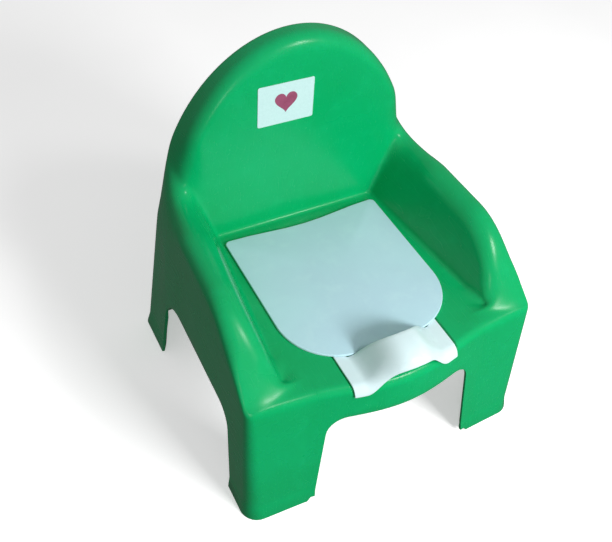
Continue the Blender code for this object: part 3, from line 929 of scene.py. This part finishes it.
def tongue_columns():
    """The tongue with its vaulted guard: sections along y at each x, blended from flat to arched."""
    columns = []
    top = FLANGE_TOP + TONGUE_STEP
    skin_out = 2 * GAP + TONGUE_WALL
    for step in range(TONGUE_COLUMNS + 1):
        x = mix(-TONGUE_HALF_WIDTH, TONGUE_HALF_WIDTH, step / TONGUE_COLUMNS)
        lift = math.cos(math.pi / 2 * min(1, abs(x) / GUARD_HALF_SPAN) ** GUARD_FLATNESS) ** 2
        rear = guard_rear(x, lift)
        corners = [
            Vector((x, rear, top)),
            Vector((x, front_y(x, top) - skin_out, top)),
            Vector((x, front_y(x, top - TONGUE_DROP) - skin_out, top - TONGUE_DROP)),
        ]
        run = rounded(corners, [SEAT_EDGE_RADIUS + skin_out], TONGUE_ARC_STEPS)
        flat = [mix(run[0], run[1], part / TONGUE_FLAT_STEPS) for part in range(TONGUE_FLAT_STEPS)] + run[1:]
        column = []
        for index, point in enumerate(flat):
            turn = math.pi / 2 * index / (len(flat) - 1)
            arched_y = rear - GUARD_LENGTH * math.sin(turn)
            arched_z = mix(GUARD_LIP, GUARD_CREST, math.cos(turn))
            column.append(Vector((x, mix(point.y, arched_y, lift), mix(point.z, arched_z, lift))))
        columns.append(column)
    return columns


def bowl_columns():
    """Half of the bowl's inner skin: from its floor up the wall and out over the flange."""
    columns = []
    floor_z = FLANGE_TOP - BOWL_DEPTH
    inner_inset = HOLE_INSET + BOWL_PLAY + BOWL_WALL
    for position in plate_positions(PLATE_ARC_STEPS):
        rim = plate_point(position, inner_inset)
        base = plate_point(position, inner_inset + BOWL_TAPER * BOWL_DEPTH)
        edge = plate_point(position, SEAT_LAP + BOWL_PLAY)
        corners = [
            Vector((base.x * BOWL_CENTRE_SHARE, base.y * BOWL_CENTRE_SHARE, floor_z)),
            Vector((base.x, base.y, floor_z)),
            Vector((rim.x, rim.y, FLANGE_TOP)),
            Vector((edge.x, edge.y, FLANGE_TOP)),
        ]
        columns.append(rounded(corners, (BOWL_FLOOR_ROUND, BOWL_WALL), ARC_STEPS))
    return columns


def potty_moulding():
    """The bowl and its splash guard, moulded as one."""
    plastic = moulded_plastic("white_plastic", WHITE, WHITE_DEEP, WHITE_PALE, 0.30, (1, 1, 1), 0.12, 0.25)
    columns = bowl_columns()
    rows = len(columns[0])
    middle = len(columns) * rows
    fan = [(middle, column * rows, (column + 1) * rows) for column in range(len(columns) - 1)]
    mesh = sheet("bowl_with_guard", columns, fan, [Vector((0, 0, columns[0][0].z))])
    thing = add_object("bowl_with_guard", mesh, plastic)
    mirror(thing)
    thicken(thing, BOWL_WALL)
    soften_edges(thing)
    tongue = add_object("tongue", sheet("tongue", tongue_columns()), plastic)
    thicken(tongue, TONGUE_WALL)
    soften_edges(tongue)
    join = thing.modifiers.new("Join tongue", "BOOLEAN")
    join.operation = "UNION"
    join.object = tongue
    settle(thing)
    bpy.data.objects.remove(tongue, do_unlink=True)
    keep_inside(thing, "potty_bowl")
    finish_piece(thing, "bowl", "white_plastic", "potty_bowl")
    return thing


def lid_plate():
    """A flat plate with a soft upper edge and a locating rib beneath."""
    under = SEAT_HEIGHT + GAP
    rib_out = HOLE_INSET + BOWL_PLAY + BOWL_WALL + LID_RIB_PLAY
    rib_in = rib_out + LID_RIB_WALL
    rib_end = under - LID_RIB_HEIGHT
    crown = LID_THICKNESS * LID_CROWN_SHARE
    levels = [(rib_in, under), (rib_in, rib_end), (rib_out, rib_end), (rib_out, under), (0, under)]
    for step in range(LID_EDGE_STEPS + 1):
        turn = math.pi / 2 * step / LID_EDGE_STEPS
        levels.append((crown * (1 - math.cos(turn)), LID_TOP - crown * (1 - math.sin(turn))))
    columns = []
    for position in plate_positions(PLATE_ARC_STEPS):
        columns.append([plate_point(position, inset).to_3d() + Vector((0, 0, z)) for inset, z in levels])
    rows = len(columns[0])
    count = len(columns)
    low, high = count * rows, count * rows + 1
    fans = [(low, (column + 1) * rows, column * rows) for column in range(count - 1)]
    fans += [(high, column * rows + rows - 1, (column + 1) * rows + rows - 1) for column in range(count - 1)]
    mesh = sheet("lid_plate", columns, fans, [Vector((0, 0, under)), Vector((0, 0, LID_TOP))])
    form = bmesh.new()
    form.from_mesh(mesh)
    bmesh.ops.recalc_face_normals(form, faces=form.faces)
    form.to_mesh(mesh)
    form.free()
    plastic = moulded_plastic("grey_plastic", GREY, GREY_DEEP, GREY_PALE, 0.42, (1, 1, 1), 0.05, 0.3)
    thing = add_object("lid_plate", mesh, plastic)
    mirror(thing)
    settle(thing)
    keep_inside(thing, "potty_lid")
    finish_piece(thing, "lid", "grey_plastic", "potty_lid")
    return thing


def on_label(thing, lift):
    """Lays a flat outline, drawn in x and y, on the sloping face of the backrest."""
    stand = Vector((LABEL_X, face_y(LABEL_CENTRE) - lift * math.hypot(1, BACK_LEAN), LABEL_CENTRE))
    turn = Matrix.Rotation(math.pi / 2 - math.atan(BACK_LEAN), 4, "X")
    thing.data.transform(Matrix.Translation(stand) @ turn)


def flat_piece(name, outline, thickness, material):
    """A thin plate from an outline given once round, with its face up."""
    form = bmesh.new()
    face = form.faces.new([form.verts.new((x, y, 0)) for x, y in outline])
    raised = bmesh.ops.extrude_face_region(form, geom=[face])["geom"]
    for vertex in raised:
        if isinstance(vertex, bmesh.types.BMVert):
            vertex.co.z += thickness
    bmesh.ops.recalc_face_normals(form, faces=form.faces)
    mesh = bpy.data.meshes.new(name)
    form.to_mesh(mesh)
    form.free()
    return add_object(name, mesh, material)


def sticker():
    """A rectangle of film with round corners."""
    outline = []
    for quarter in range(4):
        centre_x = (LABEL_WIDTH / 2 - LABEL_CORNER) * (1 if quarter in (0, 3) else -1)
        centre_y = (LABEL_HEIGHT / 2 - LABEL_CORNER) * (1 if quarter in (0, 1) else -1)
        for step in range(LABEL_CORNER_STEPS + 1):
            turn = math.pi / 2 * (quarter + step / LABEL_CORNER_STEPS)
            x = centre_x + LABEL_CORNER * math.cos(turn)
            outline.append((x, centre_y + LABEL_CORNER * math.sin(turn)))
    thing = flat_piece("sticker", outline, LABEL_THICKNESS * FILM_SHARE, label_film())
    on_label(thing, GAP)
    finish_piece(thing, "chair", "label_film", "back_label")


def heart_mark():
    """A plain printed heart in the middle of the sticker."""
    outline = []
    for step in range(MARK_POINTS):
        turn = 2 * math.pi * step / MARK_POINTS
        x = 16 * math.sin(turn) ** 3
        y = 13 * math.cos(turn) - 5 * math.cos(2 * turn) - 2 * math.cos(3 * turn) - math.cos(4 * turn)
        outline.append((x * MARK_SIZE / HEART_SPAN, (y + HEART_DROP) * MARK_SIZE / HEART_SPAN))
    outline.reverse()
    thing = flat_piece("heart_mark", outline, LABEL_THICKNESS * INK_SHARE, print_ink())
    on_label(thing, GAP + LABEL_THICKNESS * MARK_LIFT_SHARE)
    finish_piece(thing, "chair", "label_film")


# Stage, light and camera


def studio_floor():
    """A pale sheet of paper that runs up behind everything; it is seen, but leaves the light as it is."""
    form = bmesh.new()
    rings = [(FLOOR_RADIUS * step / FLOOR_RINGS, 0) for step in range(1, FLOOR_RINGS + 1)]
    for step in range(1, BEND_STEPS + 1):
        turn = math.pi / 2 * step / BEND_STEPS
        rings.append((FLOOR_RADIUS + WALL_HEIGHT * math.sin(turn), WALL_HEIGHT * (1 - math.cos(turn))))
    grid = []
    for radius, height in rings:
        angles = [2 * math.pi * step / FLOOR_SPOKES for step in range(FLOOR_SPOKES)]
        grid.append([form.verts.new((radius * math.cos(a), radius * math.sin(a), height)) for a in angles])
    form.faces.new(grid[0])
    for lower, upper in zip(grid, grid[1:]):
        for step in range(FLOOR_SPOKES):
            after = (step + 1) % FLOOR_SPOKES
            form.faces.new((lower[step], upper[step], upper[after], lower[after]))
    mesh = bpy.data.meshes.new("studio_floor")
    form.to_mesh(mesh)
    form.free()
    floor = bpy.data.objects.new("studio_floor", mesh)
    bpy.context.scene.collection.objects.link(floor)
    floor.location.z = -FLOOR_DROP
    mesh.shade_smooth()
    m = Nodes("studio_paper")
    clouds = m.span(m.noise(PAPER_SCALE, 3), *NOISE_SPAN, 0, 1)
    m.put(m.shader, "Base Color", m.blend(clouds, PAPER_SHADE, PAPER_WHITE))
    m.shader.inputs["Roughness"].default_value = 0.9
    m.shader.inputs["Emission Color"].default_value = (1, 1, 1, 1)
    m.shader.inputs["Emission Strength"].default_value = FLOOR_GLOW
    floor.data.materials.append(m.material)
    floor.visible_diffuse = False
    floor.visible_glossy = False


def softbox(name, direction, distance, size, power, glossy):
    """An area light that looks at the seat from a direction."""
    data = bpy.data.lights.new(name, "AREA")
    data.shape = "RECTANGLE"
    data.size, data.size_y = size
    data.energy = power
    light = bpy.data.objects.new(name, data)
    bpy.context.scene.collection.objects.link(light)
    aim = Vector((0, 0, SEAT_HEIGHT))
    light.location = aim + Vector(direction).normalized() * distance
    light.rotation_euler = (aim - light.location).to_track_quat("-Z", "Y").to_euler()
    light.visible_glossy = glossy


def studio_light():
    world = bpy.data.worlds.new("studio")
    world.use_nodes = True
    background = world.node_tree.nodes["Background"]
    background.inputs["Color"].default_value = (1, 1, 1, 1)
    links = world.node_tree.links
    direction = world.node_tree.nodes.new("ShaderNodeTexCoord")
    parts = world.node_tree.nodes.new("ShaderNodeSeparateXYZ")
    height = world.node_tree.nodes.new("ShaderNodeMapRange")
    links.new(direction.outputs["Generated"], parts.inputs[0])
    links.new(parts.outputs["Z"], height.inputs["Value"])
    height.inputs["From Min"].default_value = -HORIZON_BLEND
    height.inputs["From Max"].default_value = HORIZON_BLEND
    height.inputs["To Min"].default_value = WORLD_BELOW
    height.inputs["To Max"].default_value = WORLD_ABOVE
    links.new(height.outputs["Result"], background.inputs["Strength"])
    bpy.context.scene.world = world
    softbox("key", *KEY_LIGHT)
    softbox("spark", *SPARK_LIGHT)
    softbox("rim", *RIM_LIGHT)
    bpy.context.scene.view_settings.view_transform = "Standard"


def main_camera():
    """Looks down at the chair from its front left, turned a little about its own axis."""
    azimuth, elevation, roll = (math.radians(value) for value in CAMERA_ANGLES)
    level = math.cos(elevation)
    back = Vector((math.sin(azimuth) * level, -math.cos(azimuth) * level, math.sin(elevation)))
    right = (-back).cross(Vector((0, 0, 1))).normalized()
    up = right.cross(-back)
    across = math.cos(roll) * right + math.sin(roll) * up
    upward = math.cos(roll) * up - math.sin(roll) * right
    data = bpy.data.cameras.new("camera")
    data.lens = CAMERA_LENS
    data.sensor_width = CAMERA_SENSOR
    data.clip_start = CAMERA_CLIP
    camera = bpy.data.objects.new("camera", data)
    bpy.context.scene.collection.objects.link(camera)
    place = Matrix((across, upward, back)).transposed().to_4x4()
    place.translation = CAMERA_PLACE
    camera.matrix_world = place
    bpy.context.scene.camera = camera


chair_moulding()
potty_moulding()
lid_plate()
sticker()
heart_mark()
studio_floor()
studio_light()
main_camera()
